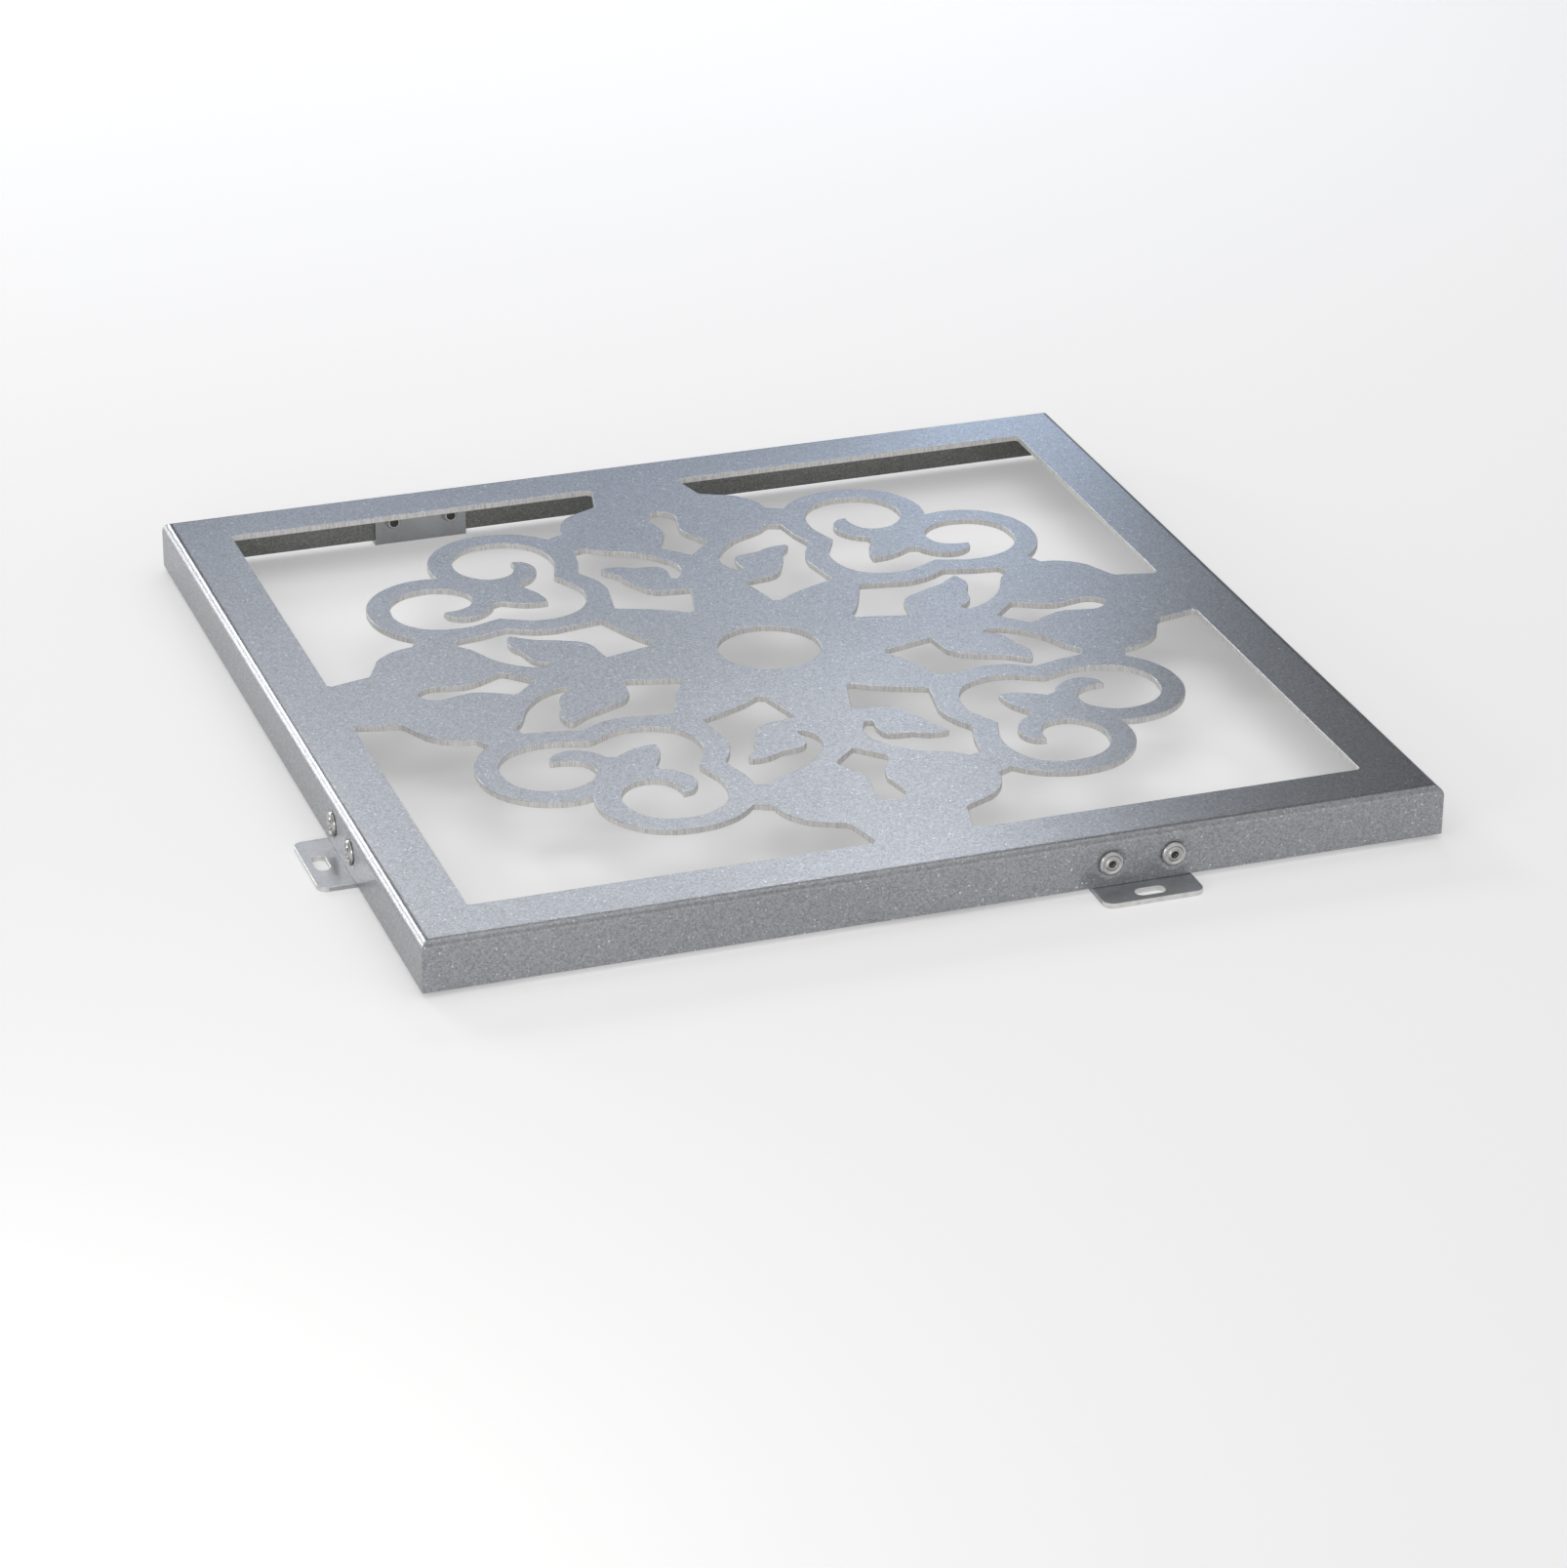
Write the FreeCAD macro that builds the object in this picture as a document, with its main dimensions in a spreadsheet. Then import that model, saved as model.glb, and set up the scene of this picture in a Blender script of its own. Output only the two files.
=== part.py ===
import FreeCAD, Part
import math
import os
import Sketcher

# A square sheet-metal screen panel, 400 mm on a side, pierced with a rosette and folded
# into a shallow tray. Four L-shaped ears are riveted inside its flanges.
# Frame: origin under the middle of the panel on the plane that the ears stand on,
# X along the front flange, Y to the back, Z up through the face.

# Name, value in millimetres, meaning
DIMENSIONS = (
    ("panel_side", 400.0, "outer width and length of the folded panel"),
    ("panel_depth", 20.0, "height of the folded flanges, face included"),
    ("sheet_thickness", 2.5, "gauge of the face sheet"),
    ("fold_radius", 4.0, "outer radius of the four folds"),
    ("frame_width", 24.0, "plain border between the fold and the corner windows"),
    ("window_corner_radius", 1.5, "inner corner of a corner window"),
    ("ear_thickness", 2.0, "gauge of the fixing ears"),
    ("ear_width", 40.0, "length of an ear along its flange"),
    ("ear_reach", 14.0, "how far an ear stands out from the flange"),
    ("ear_clearance", 0.7, "riveted leg's top below the start of the fold above it"),
    ("ear_corner_radius", 4.0, "rounded corners of an ear"),
    ("slot_length", 12.0, "slot in an ear, end to end"),
    ("slot_width", 5.5, "width of that slot"),
    ("slot_setback", 8.0, "slot centre line from the outside of the flange"),
    ("front_ear_offset", 77.0, "front ear from the middle of its flange"),
    ("side_ear_offset", 89.0, "each other ear from the middle of its flange"),
    ("rivet_pitch", 25.0, "distance between the two rivets of an ear"),
    ("rivet_height", 9.3, "rivet axis above the lower edge of the flange"),
    ("rivet_hole", 4.9, "hole in the flange and the ear"),
    ("rivet_shank", 4.8, "body of a blind rivet"),
    ("rivet_head", 9.8, "diameter of the head"),
    ("rivet_head_height", 1.6, "height of the head"),
    ("rivet_tail_length", 3.8, "length of the tail behind the ear"),
)

# The openings of the face. A row with one point is a straight run to it, a row with two is
# an arc through the first to the second. Points are shares of the window half side, which is
# the distance from the middle of the face to the straight edge of a corner window.

# Corner window, from its outer corner to the cusp between the two scrolls on the diagonal
WINDOW_HALF_SHARES = (
    ((1, 1),),
    ((0.118, 1),),
    ((0.1095, 0.991),),
    ((0.131, 0.901),),
    ((0.139, 0.894),),
    ((0.2045, 0.863),),
    ((0.24, 0.823), (0.257, 0.765)),
    ((0.2955, 0.747),),
    ((0.355, 0.7955), (0.4375, 0.815)),
    ((0.5755, 0.754), (0.606, 0.606)),
)

# Scroll opening, from the tip of the spear round the tendril and the eye to the lower lobe
SCROLL_HALF_SHARES = (
    ((0.3995, 0.3995),),
    ((0.403, 0.441), (0.4215, 0.482)),
    ((0.4335, 0.503),),
    ((0.427, 0.522),),
    ((0.3995, 0.5385), (0.3805, 0.564)),
    ((0.372, 0.6005), (0.3955, 0.641)),
    ((0.417, 0.6455),),
    ((0.42, 0.61), (0.433, 0.581)),
    ((0.4725, 0.5625), (0.517, 0.576)),
    ((0.548, 0.619), (0.551, 0.673)),
    ((0.519, 0.7345), (0.452, 0.76)),
    ((0.375, 0.744), (0.331, 0.6875)),
    ((0.3215, 0.642), (0.3255, 0.594)),
    ((0.3455, 0.533),),
    ((0.3125, 0.469),),
    ((0.307, 0.409), (0.339, 0.339)),
)

# Leaf opening beside the upper axis, from the flank of the inner leaf round the outside
LEAF_OUTER_SHARES = (
    ((0.1965, 0.462),),
    ((0.1715, 0.407),),
    ((0.155, 0.386), (0.1295, 0.374)),
    ((0.0655, 0.3655),),
    ((0.0965, 0.2445),),
    ((0.111, 0.2405),),
    ((0.1475, 0.2655),),
    ((0.1875, 0.2845),),
    ((0.265, 0.3155),),
    ((0.2555, 0.3735),),
    ((0.246, 0.426),),
    ((0.2545, 0.475), (0.277, 0.519)),
    ((0.2835, 0.5335),),
    ((0.28, 0.548),),
    ((0.2665, 0.594),),
    ((0.2575, 0.657),),
    ((0.229, 0.6665),),
    ((0.1995, 0.6415),),
    ((0.1705, 0.628),),
    ((0.1135, 0.5955), (0.075, 0.552)),
)

# Its end on the front and back axis: a long hook and a slender inner leaf
LEAF_LONG_SHARES = (
    ((0.056, 0.5205), (0.051, 0.4915)),
    ((0.058, 0.459), (0.076, 0.4335)),
    ((0.0885, 0.4385),),
    ((0.084, 0.471),),
    ((0.0875, 0.5),),
    ((0.0985, 0.512),),
    ((0.1135, 0.5165),),
    ((0.155, 0.5215),),
    ((0.1845, 0.537), (0.2185, 0.54)),
    ((0.2295, 0.538),),
    ((0.232, 0.5295),),
    ((0.225, 0.516),),
    ((0.2115, 0.5025),),
    ((0.201, 0.484),),
    ((0.1965, 0.462),),
)

# Its end on the left and right axis: a short hook and a fuller inner leaf
LEAF_SHORT_SHARES = (
    ((0.0635, 0.529),),
    ((0.059, 0.5085),),
    ((0.0615, 0.4985),),
    ((0.0715, 0.4925),),
    ((0.081, 0.4965),),
    ((0.092, 0.518), (0.1135, 0.531)),
    ((0.158, 0.54),),
    ((0.1875, 0.554), (0.2245, 0.551)),
    ((0.2385, 0.547),),
    ((0.243, 0.5385),),
    ((0.2115, 0.498),),
    ((0.202, 0.48),),
    ((0.1965, 0.462),),
)

# Drop on an axis, from its round end past the neck to its point
DROP_HALF_SHARES = (
    ((0, 0.8225),),
    ((0.0235, 0.807), (0.0325, 0.7715)),
    ((0.02, 0.7115),),
    ((0.024, 0.6875),),
    ((0.035, 0.662),),
    ((0.057, 0.6205),),
    ((0.058, 0.6135),),
    ((0.0545, 0.6075),),
    ((0, 0.5535),),
)

CENTRE_HOLE_SHARE = 0.117

# Two coordinates closer than this are taken as one
SAME_PLACE = 1e-5

SIDES = ("front", "right", "back", "left")
QUARTER_TURN = 90.0
HALF_TURN = 180.0
FULL_TURN = 360.0
UP = FreeCAD.Vector(0, 0, 1)

# How a sketch counts its own axes and the points of a line or a circle
HORIZONTAL_AXIS, VERTICAL_AXIS = range(-1, -3, -1)
START, END, CENTRE = range(1, 4)
ORIGIN_POINT = (HORIZONTAL_AXIS, START)

document = FreeCAD.newDocument("fretwork_panel")
sheet = document.addObject("Spreadsheet::Sheet", "dimensions")
for row, (name, size, meaning) in enumerate(DIMENSIONS, start=1):
    sheet.set(f"A{row}", name)
    sheet.set(f"B{row}", str(size))
    sheet.set(f"C{row}", meaning)
    sheet.setAlias(f"B{row}", name)
document.recompute()


def size_of(name):
    """A driving dimension in millimetres."""
    return float(sheet.get(name))


panel_half = size_of("panel_side") / 2
window_half = panel_half - size_of("frame_width")
ear_inset = size_of("sheet_thickness") + size_of("ear_thickness")
rivet_level = size_of("ear_thickness") + size_of("rivet_height")
ear_height = (
    size_of("ear_thickness")
    + size_of("panel_depth")
    - size_of("fold_radius")
    - size_of("ear_clearance")
)


def bind(target, path, formula):
    """Ties a property to a formula in the names of the sheet."""
    words = formula.split(" ")
    names = [entry[0] for entry in DIMENSIONS]
    linked = ["dimensions." + word if word in names else word for word in words]
    target.setExpression(path, " ".join(linked))


def new_body(label):
    body = document.addObject("PartDesign::Body", label)
    body.Label = label
    return body


def new_sketch(body, name, role):
    """A sketch on one of the body's own origin planes."""
    sketch = body.newObject("Sketcher::SketchObject", name)
    plane = next(f for f in body.Origin.OriginFeatures if f.Role == role)
    sketch.AttachmentSupport = [(plane, "")]
    sketch.MapMode = "FlatFace"
    return sketch


def add_named(sketch, name, formula, *arguments):
    """A constraint with a name, driven by the sheet."""
    sketch.addConstraint(Sketcher.Constraint(*arguments))
    index = sketch.ConstraintCount - 1
    sketch.renameConstraint(index, name)
    bind(sketch, f"Constraints.{name}", formula)


def add_polygon(sketch, corners):
    """Joined straight lines, each one level or upright."""
    lines = []
    for number, corner in enumerate(corners):
        following = corners[(number + 1) % len(corners)]
        start = FreeCAD.Vector(*corner, 0)
        end = FreeCAD.Vector(*following, 0)
        lines.append(sketch.addGeometry(Part.LineSegment(start, end)))
        level = abs(start.y - end.y) < abs(start.x - end.x)
        sketch.addConstraint(Sketcher.Constraint("Horizontal" if level else "Vertical", lines[-1]))
    for number, line in enumerate(lines):
        following = lines[(number + 1) % len(lines)]
        sketch.addConstraint(Sketcher.Constraint("Coincident", line, END, following, START))
    return lines


def add_square(sketch, side, formula):
    """A square about the sketch's origin."""
    half = side / 2
    lines = add_polygon(sketch, ((-half, -half), (half, -half), (half, half), (-half, half)))
    sketch.addConstraint(
        Sketcher.Constraint("Symmetric", lines[0], START, lines[2], START, *ORIGIN_POINT)
    )
    add_named(sketch, "width", formula, "DistanceX", lines[0], START, lines[0], END, side)
    add_named(sketch, "length", formula, "DistanceY", lines[1], START, lines[1], END, side)


def add_circle(sketch, name, across, along, diameter):
    """A circle placed from the sketch's origin. Each size is a value and its formula."""
    centre = FreeCAD.Vector(across[0], along[0], 0)
    circle = sketch.addGeometry(Part.Circle(centre, UP, diameter[0] / 2))
    add_named(sketch, name + "_x", across[1], "DistanceX", *ORIGIN_POINT, circle, CENTRE, across[0])
    add_named(sketch, name + "_y", along[1], "DistanceY", *ORIGIN_POINT, circle, CENTRE, along[0])
    add_named(sketch, name + "_size", diameter[1], "Diameter", circle, diameter[0])


def read_runs(rows):
    """Rows of an outline as runs of start, point on the way or nothing, and end."""
    runs = []
    place = rows[0][0]
    for row in rows[1:]:
        way = row[0] if len(row) == 2 else None
        runs.append((place, way, row[-1]))
        place = row[-1]
    return runs


def swapped(point):
    return (point[1], point[0])


def flipped(point):
    return (-point[0], point[1])


def both_halves(runs, mirror):
    """A half outline and its mirror image, joined into one closed outline."""
    image = [(mirror(end), way and mirror(way), mirror(start)) for start, way, end in reversed(runs)]
    return runs + image


def moved(runs, change):
    return [(change(start), way and change(way), change(end)) for start, way, end in runs]


def draw_outline(sketch, runs):
    """Lines and arcs of a closed outline, at the scale of the window half side."""
    for start, way, end in runs:
        points = [FreeCAD.Vector(*point, 0) * window_half for point in (start, way, end) if point]
        if way:
            sketch.addGeometry(Part.Arc(*points))
        else:
            sketch.addGeometry(Part.LineSegment(*points))


def cut_through(body, name, sketch, forward):
    """A pocket through everything on one side of its sketch, checked by volume."""
    document.recompute()
    before = body.Shape.Volume
    pocket = body.newObject("PartDesign::Pocket", name)
    pocket.Profile = sketch
    pocket.Type = "ThroughAll"
    pocket.Reversed = forward
    document.recompute()
    if not body.Shape.Volume < before:
        raise RuntimeError(name + " cuts nothing")
    return pocket


def repeat_round(body, name, feature, sketch, count, angle):
    """The feature repeated about the upright axis through the middle."""
    pattern = body.newObject("PartDesign::PolarPattern", name)
    pattern.Originals = [feature]
    pattern.Axis = (sketch, ["N_Axis"])
    pattern.Angle = angle
    pattern.Occurrences = count
    body.Tip = pattern
    document.recompute()
    return pattern


def edge_names(shape, wanted):
    """Names of the edges whose two ends both pass the test."""
    names = []
    for number, edge in enumerate(shape.Edges, start=1):
        ends = [vertex.Point for vertex in edge.Vertexes]
        if len(ends) == 2 and wanted(*ends):
            names.append(f"Edge{number}")
    return names


def near(first, second):
    return math.isclose(first, second, rel_tol=0, abs_tol=SAME_PLACE)


def round_edges(body, name, base, wanted, formula):
    """A fillet on the edges that pass the test."""
    fillet = body.newObject("PartDesign::Fillet", name)
    fillet.Base = (base, edge_names(base.Shape, wanted))
    bind(fillet, "Radius", formula)
    document.recompute()
    return fillet


def make_tray(body):
    """The folded sheet before it is pierced."""
    side = size_of("panel_side")
    depth = size_of("panel_depth")
    outline = new_sketch(body, "panel_outline", "XY_Plane")
    add_square(outline, side, "panel_side")
    block = body.newObject("PartDesign::Pad", "block")
    block.Profile = outline
    bind(block, "Length", "panel_depth")
    document.recompute()
    folds = round_edges(
        body, "outer_folds", block, lambda a, b: near(a.z, depth) and near(b.z, depth), "fold_radius"
    )
    hollow_outline = new_sketch(body, "hollow_outline", "XY_Plane")
    add_square(
        hollow_outline, side - 2 * size_of("sheet_thickness"), "panel_side - 2 * sheet_thickness"
    )
    hollow = body.newObject("PartDesign::Pocket", "hollow")
    hollow.Profile = hollow_outline
    hollow.Reversed = True
    bind(hollow, "Length", "panel_depth - sheet_thickness")
    document.recompute()
    if not hollow.Shape.Volume < folds.Shape.Volume:
        raise RuntimeError("the hollow cuts nothing")
    ceiling = depth - size_of("sheet_thickness")
    round_edges(
        body,
        "inner_folds",
        hollow,
        lambda a, b: near(a.z, ceiling) and near(b.z, ceiling),
        "fold_radius - sheet_thickness",
    )


def pierce_face(body):
    """The rosette: everything in it is cut from the same five outlines."""
    quarter = new_sketch(body, "quarter_openings", "XY_Plane")
    draw_outline(quarter, both_halves(read_runs(WINDOW_HALF_SHARES), swapped))
    draw_outline(quarter, both_halves(read_runs(SCROLL_HALF_SHARES), swapped))
    draw_outline(quarter, both_halves(read_runs(DROP_HALF_SHARES), flipped))
    cut = cut_through(body, "quarter_cut", quarter, True)
    repeat_round(body, "quarter_round", cut, quarter, len(SIDES), FULL_TURN)

    long_leaf = read_runs(LEAF_OUTER_SHARES + LEAF_LONG_SHARES)
    long_leaves = new_sketch(body, "long_leaf_openings", "XY_Plane")
    draw_outline(long_leaves, long_leaf)
    draw_outline(long_leaves, moved(long_leaf, flipped))
    cut = cut_through(body, "long_leaf_cut", long_leaves, True)
    repeat_round(body, "long_leaf_round", cut, long_leaves, 2, FULL_TURN)

    short_leaf = moved(read_runs(LEAF_OUTER_SHARES + LEAF_SHORT_SHARES), swapped)
    short_leaves = new_sketch(body, "short_leaf_openings", "XY_Plane")
    draw_outline(short_leaves, short_leaf)
    draw_outline(short_leaves, moved(short_leaf, lambda point: (point[0], -point[1])))
    cut = cut_through(body, "short_leaf_cut", short_leaves, True)
    repeat_round(body, "short_leaf_round", cut, short_leaves, 2, FULL_TURN)

    middle = new_sketch(body, "centre_hole_outline", "XY_Plane")
    radius = CENTRE_HOLE_SHARE * window_half
    circle = middle.addGeometry(Part.Circle(FreeCAD.Vector(0, 0, 0), UP, radius))
    middle.addConstraint(Sketcher.Constraint("Coincident", circle, CENTRE, *ORIGIN_POINT))
    formula = f"{CENTRE_HOLE_SHARE} * ( panel_side / 2 - frame_width )"
    add_named(middle, "hole_radius", formula, "Radius", circle, radius)
    cut_through(body, "centre_hole", middle, True)

    def at_window_corner(a, b):
        return all(near(abs(value), window_half) for value in (a.x, a.y, b.x, b.y)) and not near(a.z, b.z)

    round_edges(body, "window_corners", body.Tip, at_window_corner, "window_corner_radius")


def drill_flanges(body):
    """Two rivet holes in each flange. The front pair sits nearer the middle than the others."""
    level = (size_of("rivet_height"), "rivet_height")
    hole = (size_of("rivet_hole"), "rivet_hole")
    spread = size_of("rivet_pitch") / 2
    for name, role, offset in (
        ("front_holes", "XZ_Plane", "front_ear_offset"),
        ("side_holes", "YZ_Plane", "side_ear_offset"),
    ):
        sketch = new_sketch(body, name + "_outline", role)
        for circle, sign in (("near_hole", "-"), ("far_hole", "+")):
            place = size_of(offset) + (spread if sign == "+" else -spread)
            add_circle(sketch, circle, (place, f"{offset} {sign} rivet_pitch / 2"), level, hole)
        cut = cut_through(body, name, sketch, True)
    repeat_round(body, "side_holes_round", cut, body.getObject("quarter_openings"), 3, HALF_TURN)


def make_panel():
    body = new_body("face_panel")
    make_tray(body)
    pierce_face(body)
    drill_flanges(body)
    body.Placement.Base = UP * size_of("ear_thickness")
    return body


def side_rotation(number):
    """Turns a piece whose Y axis points outwards to its own side of the panel."""
    return FreeCAD.Rotation(UP, HALF_TURN + number * QUARTER_TURN)


def side_point(number, outward, along, level):
    """A point by its distance out from the middle, its distance along the side, and its height."""
    out = side_rotation(number).multVec(FreeCAD.Vector(0, 1, 0))
    return out * outward + UP.cross(out) * along + UP * level


def ear_offset(side):
    return size_of("front_ear_offset" if side == "front" else "side_ear_offset")


def make_ear(number, side):
    """An angle of sheet: its tall leg is riveted to the flange and its flat leg stands out under it."""
    body = new_body("ear_" + side)
    gauge = size_of("ear_thickness")
    reach = ear_inset + size_of("ear_reach")
    profile = new_sketch(body, "angle_" + side, "YZ_Plane")
    lines = add_polygon(
        profile, ((0, 0), (reach, 0), (reach, gauge), (gauge, gauge), (gauge, ear_height), (0, ear_height))
    )
    profile.addConstraint(Sketcher.Constraint("Coincident", lines[0], START, *ORIGIN_POINT))
    flat = "ear_thickness + sheet_thickness + ear_reach"
    add_named(profile, "flat_leg", flat, "DistanceX", lines[0], START, lines[0], END, reach)
    add_named(profile, "flat_gauge", "ear_thickness", "DistanceY", lines[1], START, lines[1], END, gauge)
    add_named(profile, "tall_gauge", "ear_thickness", "DistanceX", lines[4], END, lines[4], START, gauge)
    tall = "ear_thickness + panel_depth - fold_radius - ear_clearance"
    add_named(profile, "tall_leg", tall, "DistanceY", lines[5], END, lines[5], START, ear_height)
    angle = body.newObject("PartDesign::Pad", "angle_pad_" + side)
    angle.Profile = profile
    angle.SideType = "Symmetric"
    bind(angle, "Length", "ear_width")
    document.recompute()

    corners = round_edges(
        body,
        "ear_corners_" + side,
        angle,
        lambda a, b: near(a.y, reach) and near(b.y, reach) and near(a.x, b.x),
        "ear_corner_radius",
    )
    round_edges(
        body,
        "ear_bend_" + side,
        corners,
        lambda a, b: near(a.y, 0) and near(b.y, 0) and near(a.z, 0) and near(b.z, 0),
        "ear_thickness",
    )
    cut_slot(body, side)
    drill_ear(body, side)
    body.Placement = FreeCAD.Placement(
        side_point(number, panel_half - ear_inset, ear_offset(side), 0), side_rotation(number)
    )
    return body


def cut_slot(body, side):
    """The obround slot, its length along the flange."""
    radius = size_of("slot_width") / 2
    half = size_of("slot_length") / 2 - radius
    level = ear_inset + size_of("slot_setback")
    sketch = new_sketch(body, "slot_outline_" + side, "XY_Plane")
    quarter = math.pi / 2
    right = sketch.addGeometry(
        Part.ArcOfCircle(Part.Circle(FreeCAD.Vector(half, level, 0), UP, radius), -quarter, quarter)
    )
    left = sketch.addGeometry(
        Part.ArcOfCircle(Part.Circle(FreeCAD.Vector(-half, level, 0), UP, radius), quarter, 3 * quarter)
    )
    upper = sketch.addGeometry(
        Part.LineSegment(
            FreeCAD.Vector(half, level + radius, 0), FreeCAD.Vector(-half, level + radius, 0)
        )
    )
    lower = sketch.addGeometry(
        Part.LineSegment(
            FreeCAD.Vector(-half, level - radius, 0), FreeCAD.Vector(half, level - radius, 0)
        )
    )
    for first, second in ((right, upper), (upper, left), (left, lower), (lower, right)):
        sketch.addConstraint(Sketcher.Constraint("Tangent", first, END, second, START))
    sketch.addConstraint(Sketcher.Constraint("Symmetric", left, CENTRE, right, CENTRE, VERTICAL_AXIS))
    setback = "ear_thickness + sheet_thickness + slot_setback"
    add_named(sketch, "setback", setback, "DistanceY", *ORIGIN_POINT, right, CENTRE, level)
    add_named(sketch, "end_radius", "slot_width / 2", "Radius", right, radius)
    centres = "slot_length - slot_width"
    add_named(sketch, "centres", centres, "DistanceX", left, CENTRE, right, CENTRE, 2 * half)
    cut_through(body, "slot_" + side, sketch, True)


def drill_ear(body, side):
    """The two rivet holes in the tall leg, either side of its middle."""
    sketch = new_sketch(body, "ear_holes_outline_" + side, "XZ_Plane")
    spread = size_of("rivet_pitch") / 2
    radius = size_of("rivet_hole") / 2
    holes = [
        sketch.addGeometry(Part.Circle(FreeCAD.Vector(place, rivet_level, 0), UP, radius))
        for place in (-spread, spread)
    ]
    ends = (holes[0], CENTRE, holes[1], CENTRE)
    sketch.addConstraint(Sketcher.Constraint("Symmetric", *ends, VERTICAL_AXIS))
    sketch.addConstraint(Sketcher.Constraint("Equal", *holes))
    add_named(sketch, "pitch", "rivet_pitch", "DistanceX", *ends, 2 * spread)
    level = "ear_thickness + rivet_height"
    add_named(sketch, "level", level, "DistanceY", *ORIGIN_POINT, holes[1], CENTRE, rivet_level)
    add_named(sketch, "hole_size", "rivet_hole", "Diameter", holes[1], 2 * radius)
    cut_through(body, "ear_holes_" + side, sketch, False)


def make_rivet(label):
    """A blind rivet: its head outside the flange, its shank through flange and ear, its tail behind."""
    body = new_body(label)
    shank = size_of("rivet_shank") / 2
    head = size_of("rivet_head") / 2
    top = size_of("rivet_head_height")
    end = -ear_inset - size_of("rivet_tail_length")
    sketch = new_sketch(body, "profile_" + label, "XZ_Plane")
    lines = add_polygon(sketch, ((0, end), (shank, end), (shank, 0), (head, 0), (head, top), (0, top)))
    tail, side, seat, rim, crown, axis = lines
    sketch.addConstraint(Sketcher.Constraint("PointOnObject", axis, START, VERTICAL_AXIS))
    sketch.addConstraint(Sketcher.Constraint("PointOnObject", seat, START, HORIZONTAL_AXIS))
    add_named(sketch, "shank", "rivet_shank / 2", "DistanceX", tail, START, tail, END, shank)
    add_named(sketch, "head", "rivet_head / 2", "DistanceX", crown, END, crown, START, head)
    add_named(sketch, "height", "rivet_head_height", "DistanceY", rim, START, rim, END, top)
    grip = "sheet_thickness + ear_thickness + rivet_tail_length"
    add_named(sketch, "grip", grip, "DistanceY", side, START, side, END, -end)
    turning = body.newObject("PartDesign::Revolution", "turning_" + label)
    turning.Profile = sketch
    turning.ReferenceAxis = (sketch, ["V_Axis"])
    turning.Angle = FULL_TURN
    document.recompute()
    return body


def rivet_placement(number, side, shift):
    """The rivet axis stands square to the outside of the flange, head outwards."""
    axis_outwards = FreeCAD.Rotation(FreeCAD.Vector(1, 0, 0), -QUARTER_TURN)
    point = side_point(number, panel_half, ear_offset(side) + shift, rivet_level)
    return FreeCAD.Placement(point, side_rotation(number).multiply(axis_outwards))


def make_rivets(number, side):
    """The two rivets of one ear."""
    bodies = []
    spread = size_of("rivet_pitch") / 2
    for letter, shift in (("a", -spread), ("b", spread)):
        body = make_rivet(f"rivet_{side}_{letter}")
        body.Placement = rivet_placement(number, side, shift)
        bodies.append(body)
    return bodies


parts = [make_panel()]
for number, side in enumerate(SIDES):
    parts.append(make_ear(number, side))
    parts.extend(make_rivets(number, side))
document.recompute()

for item in document.Objects:
    if "Invalid" in item.State or "Error" in item.State:
        raise RuntimeError(f"{item.Name} failed: {item.State}")
for part in parts:
    if part.Shape.isNull() or not part.Shape.isValid() or len(part.Shape.Solids) != 1:
        raise RuntimeError(part.Label + " is not one valid solid")

os.makedirs("parts", exist_ok=True)
for part in parts:
    part.Shape.exportStep(os.path.join("parts", part.Label + ".step"))
    box = part.Shape.BoundBox
    print(f"{part.Label}: {part.Shape.Volume:.1f} mm3, z {box.ZMin:.2f} to {box.ZMax:.2f}")
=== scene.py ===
import math
import random

import bmesh
import bpy
from mathutils import Matrix, Vector


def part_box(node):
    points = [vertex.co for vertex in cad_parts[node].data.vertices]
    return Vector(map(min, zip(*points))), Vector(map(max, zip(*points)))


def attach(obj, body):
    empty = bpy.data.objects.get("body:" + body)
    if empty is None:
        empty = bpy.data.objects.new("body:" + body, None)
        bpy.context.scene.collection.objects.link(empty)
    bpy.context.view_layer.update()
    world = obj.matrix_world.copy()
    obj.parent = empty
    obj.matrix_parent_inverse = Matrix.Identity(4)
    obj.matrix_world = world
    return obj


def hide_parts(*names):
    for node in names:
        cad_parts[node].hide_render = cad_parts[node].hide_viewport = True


# A square sheet-metal screen panel pierced with a rosette, coated in silver with a fine
# sparkle, with four riveted fixing ears. Metres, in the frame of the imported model.

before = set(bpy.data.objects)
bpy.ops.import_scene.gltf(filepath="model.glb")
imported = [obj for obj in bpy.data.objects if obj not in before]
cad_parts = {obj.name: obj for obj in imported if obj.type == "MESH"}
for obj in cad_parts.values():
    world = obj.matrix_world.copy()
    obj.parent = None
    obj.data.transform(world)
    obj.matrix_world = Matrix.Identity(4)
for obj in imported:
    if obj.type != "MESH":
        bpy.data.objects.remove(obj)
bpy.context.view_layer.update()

MM = 0.001

# The sheet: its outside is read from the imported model, and its openings lie within a square
panel_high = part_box("face_panel")[1]
PANEL_HALF = panel_high.x
FACE_LEVEL = panel_high.z
SHEET_GAUGE = 2.5 * MM
CEILING_LEVEL = FACE_LEVEL - SHEET_GAUGE
OPENINGS_HALF = PANEL_HALF - 20 * MM

# Rounding that the coat and the shear leave on the edges
COATED_EDGE = 0.28 * MM
EAR_EDGE = 0.22 * MM
SHARP_ANGLE = math.radians(28)

# Clean faces: vertices closer than this are one, and triangles flatter than this are merged
WELD_DISTANCE = 0.002 * MM
FLAT_ANGLE = math.radians(0.5)

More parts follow.
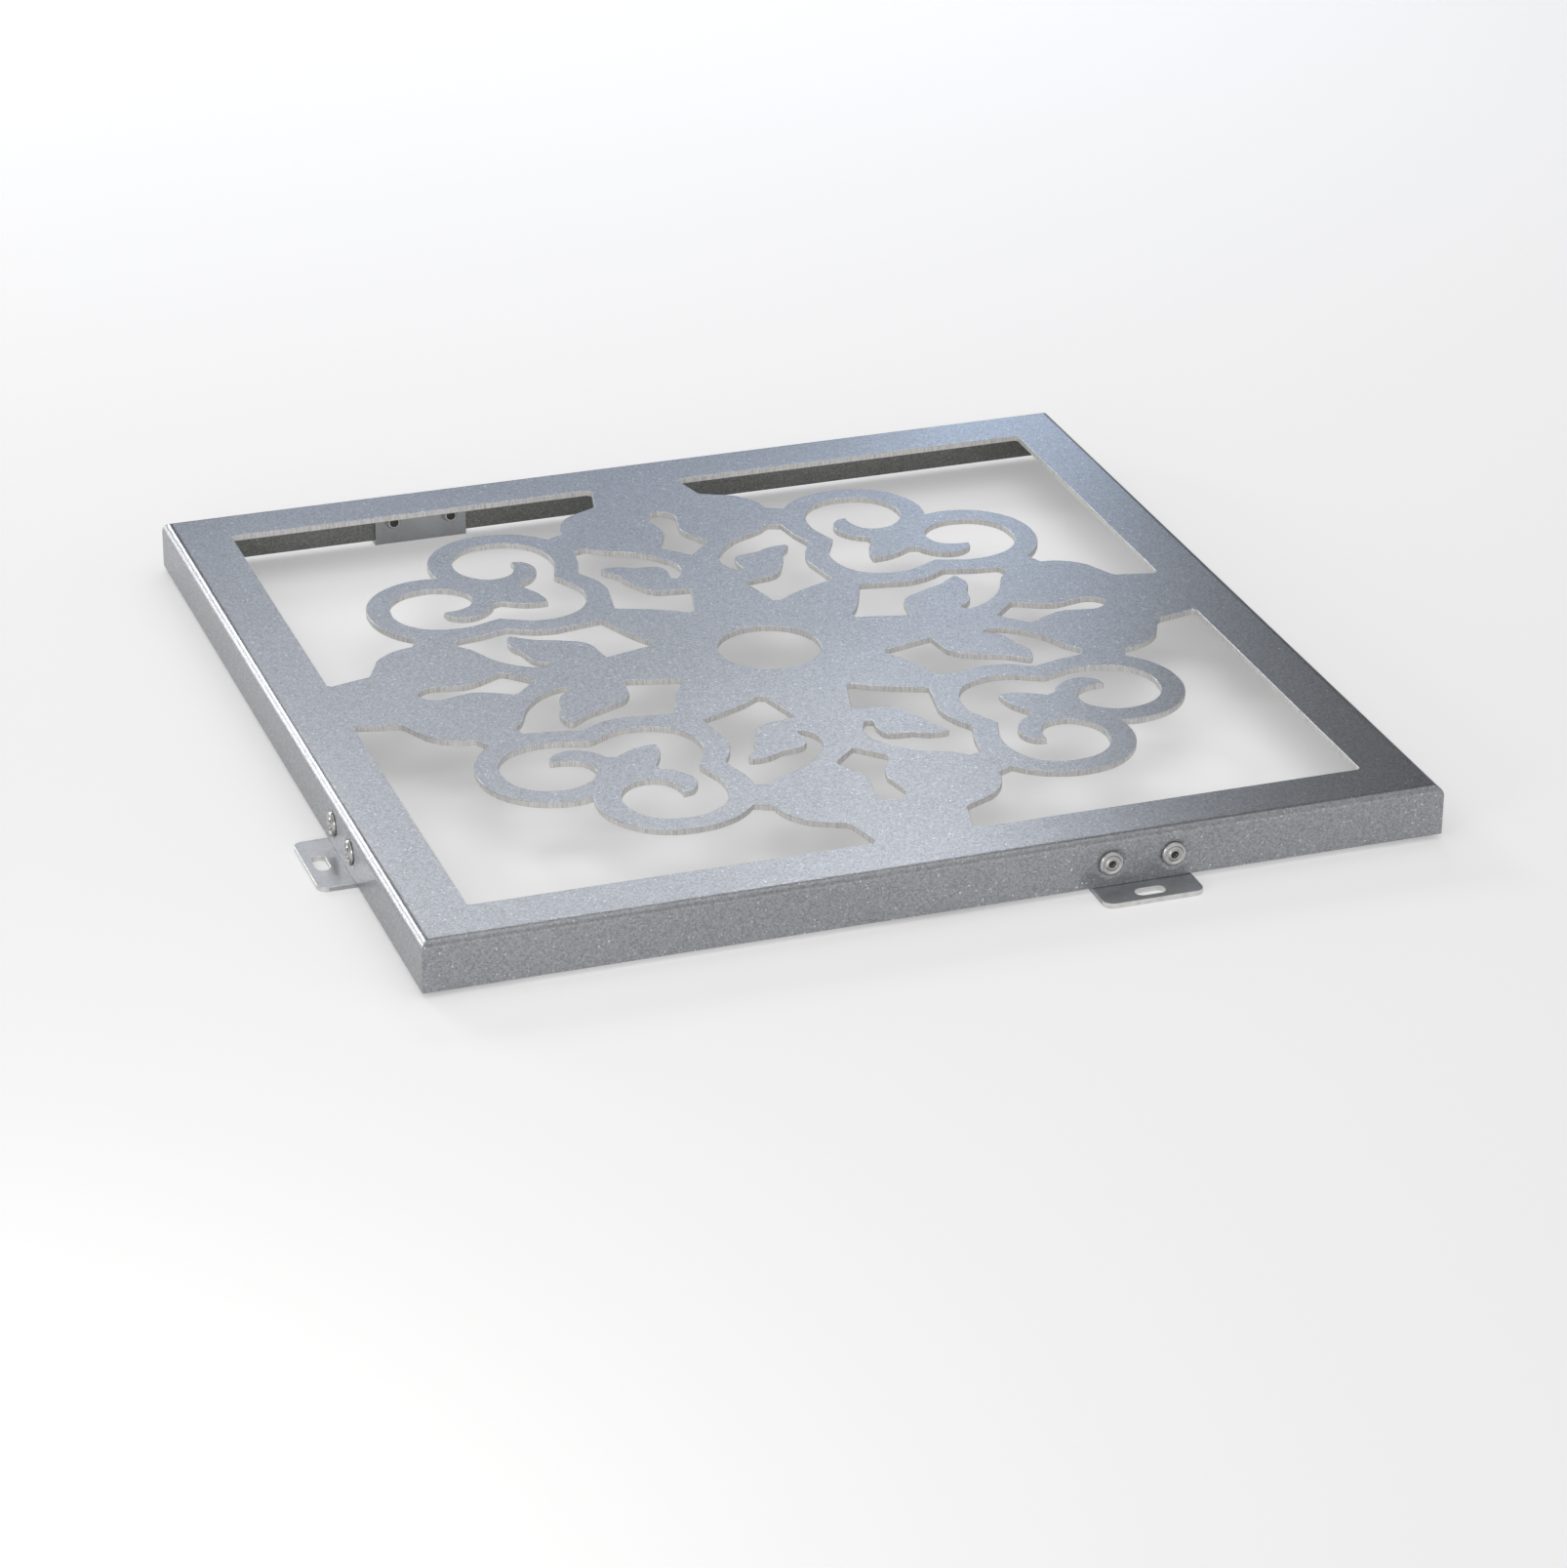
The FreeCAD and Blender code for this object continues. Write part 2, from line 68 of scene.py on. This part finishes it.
# Shading: the cosine over which neighbouring faces turn into one another, the share of one
# axis that makes a face square to it, and the smallest area of a plate
BLEND_LIMIT = 0.6
SQUARE_LIMIT = 0.99999
PLATE_AREA = 20 * MM * MM

# Finish of a face: distances by which it may miss the walls and ceiling of the tray, shares of
# Z in its direction under which it stands upright and over which it is level, and a rim's tilt
WALL_MARGIN = 0.2 * MM
CEILING_MARGIN = 0.1 * MM
UPRIGHT_LIMIT = 0.2
LEVEL_LIMIT = 0.95
RIM_TILT = (0.15, 0.99)

# Places of the sheet's materials and of an ear's
OUTSIDE, INSIDE, CUT, RIM = range(4)
MILLED, SHEARED = range(2)

# Flange drawn in round each rivet: where it stops being deepest and where it ends, from the
# rivet's middle, and its depth. A fine grid carries it, with so many lines to each side.
FLARE_REACH = (4.7 * MM, 6.6 * MM)
FLARE_DEPTH = 0.4 * MM
GRID_REACH = FLARE_REACH[1] + 0.05 * MM
GRID_LINES = 12

# Blind rivet: rows of radius and height in millimetres. The head and the broken stem of the
# mandrel are measured from the flange as drawn in, the rest from its outside.
RIVET_LETTERS = "ab"
RIVET_TURNS = 64
STEM_WOBBLE = 0.04
SHANK_RADIUS = 2.38
HEAD_PROFILE = (
    (4.5, 0.0),
    (4.78, 0.16),
    (4.9, 0.36),
    (4.86, 0.66),
    (4.68, 1.0),
    (4.42, 1.26),
    (4.1, 1.42),
    (3.8, 1.46),
    (3.56, 1.36),
    (3.3, 1.16),
    (2.95, 1.04),
    (2.62, 1.08),
    (2.36, 1.26),
    (2.18, 1.48),
    (2.0, 1.58),
    (1.82, 1.6),
    (1.62, 1.54),
    (1.5, 1.38),
    (1.45, 1.15),
    (1.43, -0.4),
)
TAIL_PROFILE = (
    (SHANK_RADIUS, -4.52),
    (2.9, -4.56),
    (3.28, -4.8),
    (3.42, -5.3),
    (3.36, -5.85),
    (3.1, -6.4),
    (2.8, -6.85),
    (2.62, -7.25),
    (2.5, -7.55),
    (2.3, -7.72),
    (1.95, -7.7),
)
MANDREL_HEAD = (
    (1.9, -7.68),
    (1.86, -7.9),
    (1.6, -8.14),
    (1.1, -8.26),
    (0.5, -8.3),
)
MANDREL_STEM = (
    (1.4, -0.5),
    (1.4, -0.12),
    (1.26, 0.08),
    (0.95, 0.2),
    (0.55, 0.06),
    (0.25, 0.12),
)

# Silver coat: flakes to the metre, their range of tone, and how much the few painted glints add
FLAKE_GRAIN = 1750
FLAKE_TONES = (0.77, 1.23)
PAINTED_GLINT_FLAKES = (0.975, 1.0)
PAINTED_GLINT_TONES = (1.0, 1.8)

# Range in which a noise does most of its change
NOISE_SPAN = (0.3, 0.7)

# Sockets of the colour mix node, whose names repeat
MIX_FACTOR, MIX_FIRST, MIX_SECOND, MIX_RESULT = 0, 6, 7, 2

# Floor: half its width, the light that it gives itself, and the share of it that metal mirrors
FLOOR_HALF = 12.0
FLOOR_LIFT = 0.31
MIRRORED_SHARE = 0.6

# World: the direction in which it grows lighter, up and towards the viewer, its level on edge,
# and the level and colour of its dark and light ends
WORLD_SLOPE = (0.0, -0.5, 0.75)
WORLD_HORIZON = 0.25
WORLD_DARK = (0.22, (0.05, 0.05, 0.055))
WORLD_LIGHT = (0.6, (1.0, 0.99, 0.98))
WORLD_STRENGTH = 0.52

# Points that the lamps face, and the plane in which most of those behind the panel stand
MIDDLE = (0, 0, 0.02)
RIGHT_HALF = (0.1, 0, 0.02)
LEFT_FOLD = (-0.2, 0, 0.02)
FRONT_CORNER = (-0.2, -0.2, 0.02)
BACK = 1.15
WHITE = (1.0, 1.0, 1.0)

# Lamps: name, place, point faced, width and height, watts and colour
LAMPS = (
    ("back_high", (0.31, BACK, 0.84), MIDDLE, (0.66, 0.18), 1.36, (0.97, 0.99, 1.03)),
    ("back_middle", (0.48, BACK, 0.79), MIDDLE, (0.20, 0.16), 0.2, WHITE),
    ("back_low", (0.26, BACK, 0.40), MIDDLE, (0.56, 0.12), 0.22, (0.66, 0.86, 1.18)),
    ("back_right", (0.58, BACK, 0.36), RIGHT_HALF, (0.16, 0.20), 0.24, (0.68, 0.86, 1.14)),
    ("back_left", (-0.95, 2.50, 1.32), FRONT_CORNER, (0.8, 0.46), 11.5, WHITE),
    ("back_side", (-0.93, BACK, 0.26), LEFT_FOLD, (0.52, 0.46), 2.9, WHITE),
    ("back_gap", (0.0, BACK, 0.70), LEFT_FOLD, (0.32, 0.28), 0.22, WHITE),
    ("overhead", (0, -0.1, 1.6), (0, -0.1, 0), (1.4, 1.4), 2.15, WHITE),
    ("front_fill", (0.1, -1.25, 0.45), MIDDLE, (1.6, 0.5), 0.9, (1.0, 0.99, 0.97)),
    ("front_left", (-0.58, -0.60, 0.24), FRONT_CORNER, (0.3, 0.22), 0.85, (1.0, 0.98, 0.94)),
)

# Camera: its place, the point that it faces, its roll, and its sensor and lens in millimetres
CAMERA_PLACE = (-0.61957, -1.76290, 0.87488)
CAMERA_AIM = (-0.02820, -0.09769, 0.011)
CAMERA_ROLL = math.radians(0.452)
CAMERA_SENSOR = 36.0
CAMERA_LENS = 118.46

OUTWARD = {
    "front": Vector((0, -1, 0)),
    "right": Vector((1, 0, 0)),
    "back": Vector((0, 1, 0)),
    "left": Vector((-1, 0, 0)),
}


class Nodes:
    """Short ways to add and join the nodes of one tree."""

    def __init__(self, tree):
        self.tree = tree

    def add(self, kind, **settings):
        """A new node with some of its settings."""
        node = self.tree.nodes.new(kind)
        for name, value in settings.items():
            setattr(node, name, value)
        return node

    def feed(self, socket, value):
        """Joins an output to a socket, or sets the socket to a number or a colour."""
        if isinstance(value, bpy.types.NodeSocket):
            self.tree.links.new(value, socket)
        else:
            socket.default_value = (*value, 1) if isinstance(value, tuple) else value

    def math(self, operation, first, second):
        """A sum, a product and the like of two values."""
        node = self.add("ShaderNodeMath", operation=operation)
        self.feed(node.inputs[0], first)
        self.feed(node.inputs[1], second)
        return node.outputs["Value"]

    def ramp(self, source, *stops):
        """A colour ramp. Each stop is a place and a colour."""
        node = self.add("ShaderNodeValToRGB")
        elements = node.color_ramp.elements
        while len(elements) < len(stops):
            elements.new(0.5)
        for element, (place, colour) in zip(elements, stops):
            element.position = place
            element.color = (*colour, 1)
        self.feed(node.inputs["Fac"], source)
        return node.outputs["Color"]


class Shader(Nodes):
    """A new material and the nodes that shade it."""

    def __init__(self, name):
        self.material = bpy.data.materials.new(name)
        self.material.use_nodes = True
        super().__init__(self.material.node_tree)
        self.surface = self.tree.nodes["Principled BSDF"]

    def place(self):
        """The object's own coordinates in metres."""
        return self.add("ShaderNodeTexCoord").outputs["Object"]

    def noise(self, scale, detail, roughness=0.5, stretch=None):
        """Soft noise, drawn out along the axes by a stretch."""
        node = self.add("ShaderNodeTexNoise")
        node.inputs["Scale"].default_value = scale
        node.inputs["Detail"].default_value = detail
        node.inputs["Roughness"].default_value = roughness
        source = self.place()
        if stretch:
            mapping = self.add("ShaderNodeMapping")
            mapping.inputs["Scale"].default_value = stretch
            self.feed(mapping.inputs["Vector"], source)
            source = mapping.outputs["Vector"]
        self.feed(node.inputs["Vector"], source)
        return node.outputs["Fac"]

    def flakes(self):
        """Three random values in each cell of a fine grain."""
        node = self.add("ShaderNodeTexVoronoi")
        node.inputs["Scale"].default_value = FLAKE_GRAIN
        self.feed(node.inputs["Vector"], self.place())
        split = self.add("ShaderNodeSeparateColor")
        self.feed(split.inputs["Color"], node.outputs["Color"])
        return split.outputs

    def remap(self, source, span, result):
        """Stretches one range of values to another."""
        node = self.add("ShaderNodeMapRange")
        for name, value in zip(("From Min", "From Max", "To Min", "To Max"), (*span, *result)):
            node.inputs[name].default_value = value
        self.feed(node.inputs["Value"], source)
        return node.outputs["Result"]

    def tint(self, colour, level):
        """The colour made lighter or darker by a level."""
        grey = self.add("ShaderNodeCombineColor")
        for channel in ("Red", "Green", "Blue"):
            self.feed(grey.inputs[channel], level)
        mix = self.add("ShaderNodeMix", data_type="RGBA", blend_type="MULTIPLY")
        self.feed(mix.inputs[MIX_FACTOR], 1.0)
        self.feed(mix.inputs[MIX_FIRST], colour)
        self.feed(mix.inputs[MIX_SECOND], grey.outputs["Color"])
        return mix.outputs[MIX_RESULT]

    def bump(self, height, strength, distance, below=None):
        """A fine relief, over another one where that is given."""
        node = self.add("ShaderNodeBump")
        node.inputs["Strength"].default_value = strength
        node.inputs["Distance"].default_value = distance
        self.feed(node.inputs["Height"], height)
        if below:
            self.feed(node.inputs["Normal"], below)
        return node.outputs["Normal"]

    def set(self, **values):
        """Constants and links of the surface, by the sockets' names with _ for a space."""
        for name, value in values.items():
            self.feed(self.surface.inputs[name.replace("_", " ")], value)


def srgb(*levels):
    """A colour written as it shows, 0 to 255, in linear light."""
    shares = [level / 255 for level in levels]
    return tuple(s / 12.92 if s <= 0.04045 else ((s + 0.055) / 1.055) ** 2.4 for s in shares)


def sparkle_coat(name, dark, light, metallic, roughness):
    """Silver coat: metal flake in a clear binder, a few flakes lightened as painted glints, and a fine
    orange peel.
    """
    shader = Shader(name)
    tone = shader.ramp(shader.noise(scale=9, detail=3), (0.3, dark), (0.7, light))
    flakes = shader.flakes()
    flake_tone = shader.remap(flakes["Red"], (0, 1), FLAKE_TONES)
    # A few flakes are lightened in colour, up to 1.8 times, as painted glints
    painted_glint = shader.remap(flakes["Green"], PAINTED_GLINT_FLAKES, PAINTED_GLINT_TONES)
    fine = shader.bump(flakes["Red"], strength=0.07, distance=0.05 * MM)
    peel = shader.noise(scale=650, detail=2)
    shader.set(
        Base_Color=shader.tint(tone, shader.math("MULTIPLY", flake_tone, painted_glint)),
        Roughness=shader.remap(flakes["Blue"], (0, 1), (roughness - 0.04, roughness + 0.05)),
        Metallic=metallic,
        Coat_Weight=0.25,
        Coat_Roughness=0.22,
        Normal=shader.bump(peel, strength=0.05, distance=0.08 * MM, below=fine),
    )
    return shader.material


def cut_sheet_and_painted_light(name):
    """Cut walls: bright metal under a thin coat, made lighter still by painted light, with upright marks
    of the cut.
    """
    shader = Shader(name)
    marks = shader.noise(scale=1, detail=3, roughness=0.6, stretch=(1900, 1900, 120))
    # The walls' near-white colour is partly their bright metal and partly painted light
    shader.set(
        Base_Color=shader.ramp(
            marks,
            (0.3, srgb(206, 205, 203)),
            (0.5, srgb(236, 235, 233)),
            (0.7, srgb(250, 249, 247)),
        ),
        Roughness=shader.remap(marks, NOISE_SPAN, (0.46, 0.36)),
        Metallic=0.25,
        Normal=shader.bump(marks, strength=0.15, distance=0.04 * MM),
    )
    return shader.material


def mill_sheet(name):
    """Bare rolled aluminium with a fine grain along the sheet and a little handling wear."""
    shader = Shader(name)
    grain = shader.noise(scale=1, detail=4, roughness=0.65, stretch=(420, 420, 3000))
    blotch = shader.noise(scale=60, detail=3)
    tone = shader.ramp(blotch, (0.3, srgb(176, 177, 179)), (0.7, srgb(196, 198, 202)))
    shader.set(
        Base_Color=shader.tint(tone, shader.remap(grain, NOISE_SPAN, (0.9, 1.08))),
        Roughness=shader.remap(blotch, NOISE_SPAN, (0.36, 0.46)),
        Metallic=1.0,
        Normal=shader.bump(grain, strength=0.12, distance=0.04 * MM),
    )
    return shader.material


def stained_metal(name, light, roughness):
    """Bare metal with small darker stains: rivets, mandrels and sheared edges."""
    shader = Shader(name)
    stain = shader.noise(scale=380, detail=4, roughness=0.6)
    dark = tuple(level * 0.82 for level in light)
    shader.set(
        Base_Color=shader.ramp(stain, (0.35, dark), (0.6, light)),
        Roughness=shader.remap(stain, NOISE_SPAN, (roughness - 0.06, roughness + 0.1)),
        Metallic=1.0,
        Normal=shader.bump(shader.noise(scale=1500, detail=3), strength=0.15, distance=0.03 * MM),
    )
    return shader.material


coat = sparkle_coat("silver_coat", srgb(164, 166, 170), srgb(172, 174, 178), metallic=0.86, roughness=0.32)
inner_coat = sparkle_coat(
    "inner_coat", srgb(142, 143, 141), srgb(158, 159, 156), metallic=0.6, roughness=0.52
)
# The rims' coat is lighter than the face: a painted highlight along the upper edges of the openings
rim_painted_highlight = sparkle_coat("rim_painted_highlight", srgb(205, 207, 210), srgb(218, 220, 222), metallic=0.6, roughness=0.4)
cut_metal_and_painted_light = cut_sheet_and_painted_light("cut_sheet_and_painted_light")
ear_metal = mill_sheet("mill_sheet")
sheared_metal = stained_metal("sheared_edge", srgb(240, 240, 239), roughness=0.34)
head_metal = stained_metal("rivet_aluminium", srgb(214, 214, 213), roughness=0.27)
mandrel_metal = stained_metal("mandrel_steel", srgb(88, 86, 83), roughness=0.38)


def link(name, data):
    """A new object in the scene that holds a mesh, a lamp or a camera."""
    thing = bpy.data.objects.new(name, data)
    bpy.context.scene.collection.objects.link(thing)
    return thing


def seat(piece, slot, *replaced):
    """Attaches a piece of the panel to its body and hides the nodes that it stands for; its finish, the
    slot, is not used.
    """
    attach(piece, "root")
    if replaced:
        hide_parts(*replaced)


def rivet_place(side, letter):
    """The rivet's own axes: Z outwards, origin on the outside of the flange."""
    low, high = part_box(f"rivet_{side}_{letter}")
    middle = (low + high) / 2
    out = OUTWARD[side]
    origin = middle + out * (PANEL_HALF - middle.dot(out))
    turn = Vector((0, 0, 1)).rotation_difference(out)
    return Matrix.Translation(origin) @ turn.to_matrix().to_4x4()


def opened_mesh(node):
    """The node's shape as clean faces: doubled points joined, flat triangles merged."""
    shape = bmesh.new()
    shape.from_mesh(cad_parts[node].data)
    bmesh.ops.remove_doubles(shape, verts=shape.verts, dist=WELD_DISTANCE)
    bmesh.ops.dissolve_limit(shape, angle_limit=FLAT_ANGLE, verts=shape.verts, edges=shape.edges)
    return shape


def closed_mesh(shape, name, *materials):
    """The worked shape as a smooth mesh with its materials."""
    for face in shape.faces:
        face.smooth = True
    mesh = bpy.data.meshes.new(name)
    shape.to_mesh(mesh)
    shape.free()
    for material in materials:
        mesh.materials.append(material)
    return mesh


def ease_edges(shape, width):
    """Rounds every sharp edge by a fraction of a millimetre."""
    sharp = [edge for edge in shape.edges if edge.is_manifold and edge.calc_face_angle() > SHARP_ANGLE]
    bmesh.ops.bevel(
        shape, geom=sharp, offset=width, offset_type="OFFSET", segments=2, profile=0.5, affect="EDGES",
        clamp_overlap=False, material=-1,
    )
    bmesh.ops.dissolve_degenerate(shape, dist=WELD_DISTANCE, edges=shape.edges)
    shape.normal_update()


def is_plate(face):
    """True for a large face that lies square to an axis."""
    return face.area > PLATE_AREA and max(map(abs, face.normal)) > SQUARE_LIMIT


def blend_normals(mesh):
    """Flat plates keep their own direction, and the folds and rounds turn between them."""
    around = [[] for vertex in mesh.vertices]
    for face in mesh.polygons:
        for index in face.vertices:
            around[index].append(face)
    normals = []
    for face in mesh.polygons:
        for index in face.vertices:
            near = [other for other in around[index] if other.normal.dot(face.normal) > BLEND_LIMIT]
            plates = [other for other in near if is_plate(other)]
            if is_plate(face):
                normals.append(face.normal)
            elif plates:
                normals.append(plates[0].normal)
            else:
                total = sum((other.normal * other.area for other in near), Vector())
                normals.append(total.normalized() if total.length > 0 else face.normal)
    mesh.normals_split_custom_set(normals)


def panel_face_kind(face):
    """Tells the coated outside, the inside of the tray and the cut walls apart."""
    middle = face.calc_center_median()
    if max(abs(middle.x), abs(middle.y)) > PANEL_HALF - SHEET_GAUGE + WALL_MARGIN:
        return OUTSIDE
    if face.normal.z < -UPRIGHT_LIMIT or middle.z < CEILING_LEVEL + CEILING_MARGIN:
        return INSIDE
    return CUT if abs(face.normal.z) < UPRIGHT_LIMIT else OUTSIDE


def is_rim(face):
    """True for the eased upper edges of the openings."""
    middle = face.calc_center_median()
    inside = max(abs(middle.x), abs(middle.y)) < OPENINGS_HALF
    tilted = RIM_TILT[0] < face.normal.z < RIM_TILT[1]
    return inside and tilted and middle.z > FACE_LEVEL - COATED_EDGE


def over_grid(face, local):
    """True for a face on the outside of the flange that reaches into the square round a rivet."""
    spots = [local @ vertex.co for vertex in face.verts]
    if max(abs(spot.z) for spot in spots) > WELD_DISTANCE:
        return False
    half = GRID_REACH - WELD_DISTANCE
    return all(
        min(spot[axis] for spot in spots) < half and max(spot[axis] for spot in spots) > -half
        for axis in (0, 1)
    )


def cut_grid(shape, place):
    """Cuts a fine grid into the outside of the flange round one rivet, its outer lines first."""
    local = place.inverted()
    turn = place.to_3x3()
    faces = [face for face in shape.faces if over_grid(face, local)]
    steps = sorted(range(-GRID_LINES, GRID_LINES + 1), key=abs, reverse=True)
    for step in steps:
        for axis in (0, 1):
            edges = {edge for face in faces for edge in face.edges}
            verts = {vertex for face in faces for vertex in face.verts}
            across = turn.col[axis]
            cut = bmesh.ops.bisect_plane(
                shape,
                geom=[*verts, *edges, *faces],
                dist=WELD_DISTANCE,
                plane_co=place.translation + across * (GRID_REACH * step / GRID_LINES),
                plane_no=across,
            )
            parts = [item for item in cut["geom"] if isinstance(item, bmesh.types.BMFace)]
            faces = [face for face in parts if over_grid(face, local)]


def draw_in(shape, side, letter):
    """Sinks the flange a little where a rivet has pulled it in, and less towards its inside."""
    place = rivet_place(side, letter)
    cut_grid(shape, place)
    local = place.inverted()
    deepest, end = FLARE_REACH
    for vertex in shape.verts:
        spot = local @ vertex.co
        if spot.xy.length < end and -SHEET_GAUGE < spot.z < WELD_DISTANCE:
            share = min(1.0, (end - spot.xy.length) / (end - deepest))
            slope = share * share * (3 - 2 * share)
            vertex.co -= OUTWARD[side] * (FLARE_DEPTH * slope * (1 + spot.z / SHEET_GAUGE))


def coated_panel():
    """The folded sheet with its pierced rosette."""
    shape = opened_mesh("face_panel")
    for face in shape.faces:
        face.material_index = panel_face_kind(face)
    ease_edges(shape, COATED_EDGE)
    # The eased upper edges of the openings take the lighter rim coat, a painted highlight
    for face in shape.faces:
        if is_rim(face):
            face.material_index = RIM
    for side in OUTWARD:
        for letter in RIVET_LETTERS:
            draw_in(shape, side, letter)
    mesh = closed_mesh(shape, "coated_panel", coat, inner_coat, cut_metal_and_painted_light, rim_painted_highlight)
    blend_normals(mesh)
    seat(link("coated_panel", mesh), "coated_sheet", "face_panel")


def fixing_ear(side):
    """One folded ear, with the bright sheared edge of its foot and slot."""
    shape = opened_mesh("ear_" + side)
    ease_edges(shape, EAR_EDGE)
    for face in shape.faces:
        on_foot = face.calc_center_median().dot(OUTWARD[side]) > PANEL_HALF
        face.material_index = SHEARED if on_foot and abs(face.normal.z) < LEVEL_LIMIT else MILLED
    mesh = closed_mesh(shape, "fixing_ear_" + side, ear_metal, sheared_metal)
    blend_normals(mesh)
    seat(link("fixing_ear_" + side, mesh), "ear_sheet", "ear_" + side)


def turned(name, profile, material, wobble=0.0, seed=0):
    """A solid turned about Z from rows of radius and height in millimetres."""
    draw = random.Random(seed)
    shape = bmesh.new()
    rings = []
    for radius, level in profile:
        ring = []
        for step in range(RIVET_TURNS):
            angle = step * math.tau / RIVET_TURNS
            height = level + wobble * draw.uniform(-1, 1)
            spot = Vector((radius * math.cos(angle), radius * math.sin(angle), height)) * MM
            ring.append(shape.verts.new(spot))
        rings.append(ring)
    for lower, upper in zip(rings, rings[1:]):
        for step in range(RIVET_TURNS):
            after = (step + 1) % RIVET_TURNS
            shape.faces.new((lower[step], lower[after], upper[after], upper[step]))
    for end in (rings[0], rings[-1]):
        shape.faces.new(end)
    bmesh.ops.recalc_face_normals(shape, faces=shape.faces)
    return link(name, closed_mesh(shape, name, material))


def sunk(profile):
    """Rows of a profile that is measured from the flange as drawn in, from its outside."""
    return tuple((radius, level - FLARE_DEPTH / MM) for radius, level in profile)


def blind_rivet(side, letter, seed):
    """Head, upset tail and the broken mandrel of one rivet."""
    tail = TAIL_PROFILE[::-1] + sunk([(SHANK_RADIUS, 0.0)])
    body = turned(f"rivet_body_{side}_{letter}", tail + sunk(HEAD_PROFILE), head_metal)
    pin = MANDREL_HEAD[::-1] + sunk(MANDREL_STEM)
    mandrel = turned(f"mandrel_{side}_{letter}", pin, mandrel_metal, STEM_WOBBLE, seed)
    place = rivet_place(side, letter)
    body.data.transform(place)
    mandrel.data.transform(place)
    seat(body, "rivet", f"rivet_{side}_{letter}")
    seat(mandrel, "rivet")


def studio_floor():
    """A wide pale floor that stays almost white and keeps the panel's shadow."""
    mesh = bpy.data.meshes.new("studio_floor")
    corners = [(x * FLOOR_HALF, y * FLOOR_HALF, 0) for x, y in ((-1, -1), (1, -1), (1, 1), (-1, 1))]
    mesh.from_pydata(corners, [], [(0, 1, 2, 3)])
    floor = link("studio_floor", mesh)
    shader = Shader("pale_floor")
    path = shader.add("ShaderNodeLightPath").outputs
    direct = shader.math("ADD", path["Is Camera Ray"], path["Is Transmission Ray"])
    mirrored = shader.math("MULTIPLY", path["Is Glossy Ray"], MIRRORED_SHARE)
    seen = shader.math("ADD", direct, mirrored)
    shader.set(
        Base_Color=(0.82, 0.82, 0.83),
        Roughness=0.9,
        Specular_IOR_Level=0.0,
        Emission_Color=WHITE,
        Emission_Strength=shader.math("MULTIPLY", seen, FLOOR_LIFT),
    )
    mesh.materials.append(shader.material)


def studio_world():
    """Soft light that comes mostly from above."""
    world = bpy.data.worlds.new("studio")
    bpy.context.scene.world = world
    world.use_nodes = True
    sky = Nodes(world.node_tree)
    slope = sky.add("ShaderNodeVectorMath", operation="DOT_PRODUCT")
    sky.feed(slope.inputs[0], sky.add("ShaderNodeTexCoord").outputs["Generated"])
    slope.inputs[1].default_value = WORLD_SLOPE
    level = sky.math("ADD", slope.outputs["Value"], WORLD_HORIZON)
    background = world.node_tree.nodes["Background"]
    sky.feed(background.inputs["Color"], sky.ramp(level, WORLD_DARK, WORLD_LIGHT))
    sky.feed(background.inputs["Strength"], WORLD_STRENGTH)


def stand(thing, place, aim):
    """Puts a lamp or a camera in a place, turned to face a point."""
    thing.location = place
    thing.rotation_mode = "QUATERNION"
    thing.rotation_quaternion = (Vector(aim) - Vector(place)).to_track_quat("-Z", "Y")


def softbox(name, place, aim, size, power, colour):
    """A rectangular lamp that the camera doesn't see."""
    data = bpy.data.lights.new(name, "AREA")
    data.shape = "RECTANGLE"
    data.size, data.size_y = size
    data.energy = power
    data.color = colour
    lamp = link(name, data)
    stand(lamp, place, aim)
    lamp.visible_camera = False


def studio_camera():
    """The photograph's viewpoint and lens."""
    data = bpy.data.cameras.new("camera")
    data.sensor_width = CAMERA_SENSOR
    data.lens = CAMERA_LENS
    camera = link("camera", data)
    stand(camera, CAMERA_PLACE, CAMERA_AIM)
    roll = Matrix.Rotation(CAMERA_ROLL, 3, "Z").to_quaternion()
    camera.rotation_quaternion = camera.rotation_quaternion @ roll
    bpy.context.scene.camera = camera


coated_panel()
for number, side in enumerate(OUTWARD):
    fixing_ear(side)
    for letter in RIVET_LETTERS:
        blind_rivet(side, letter, seed=number * 2 + ord(letter))
studio_floor()
studio_world()
for lamp in LAMPS:
    softbox(*lamp)
studio_camera()
bpy.context.scene.view_settings.view_transform = "Standard"
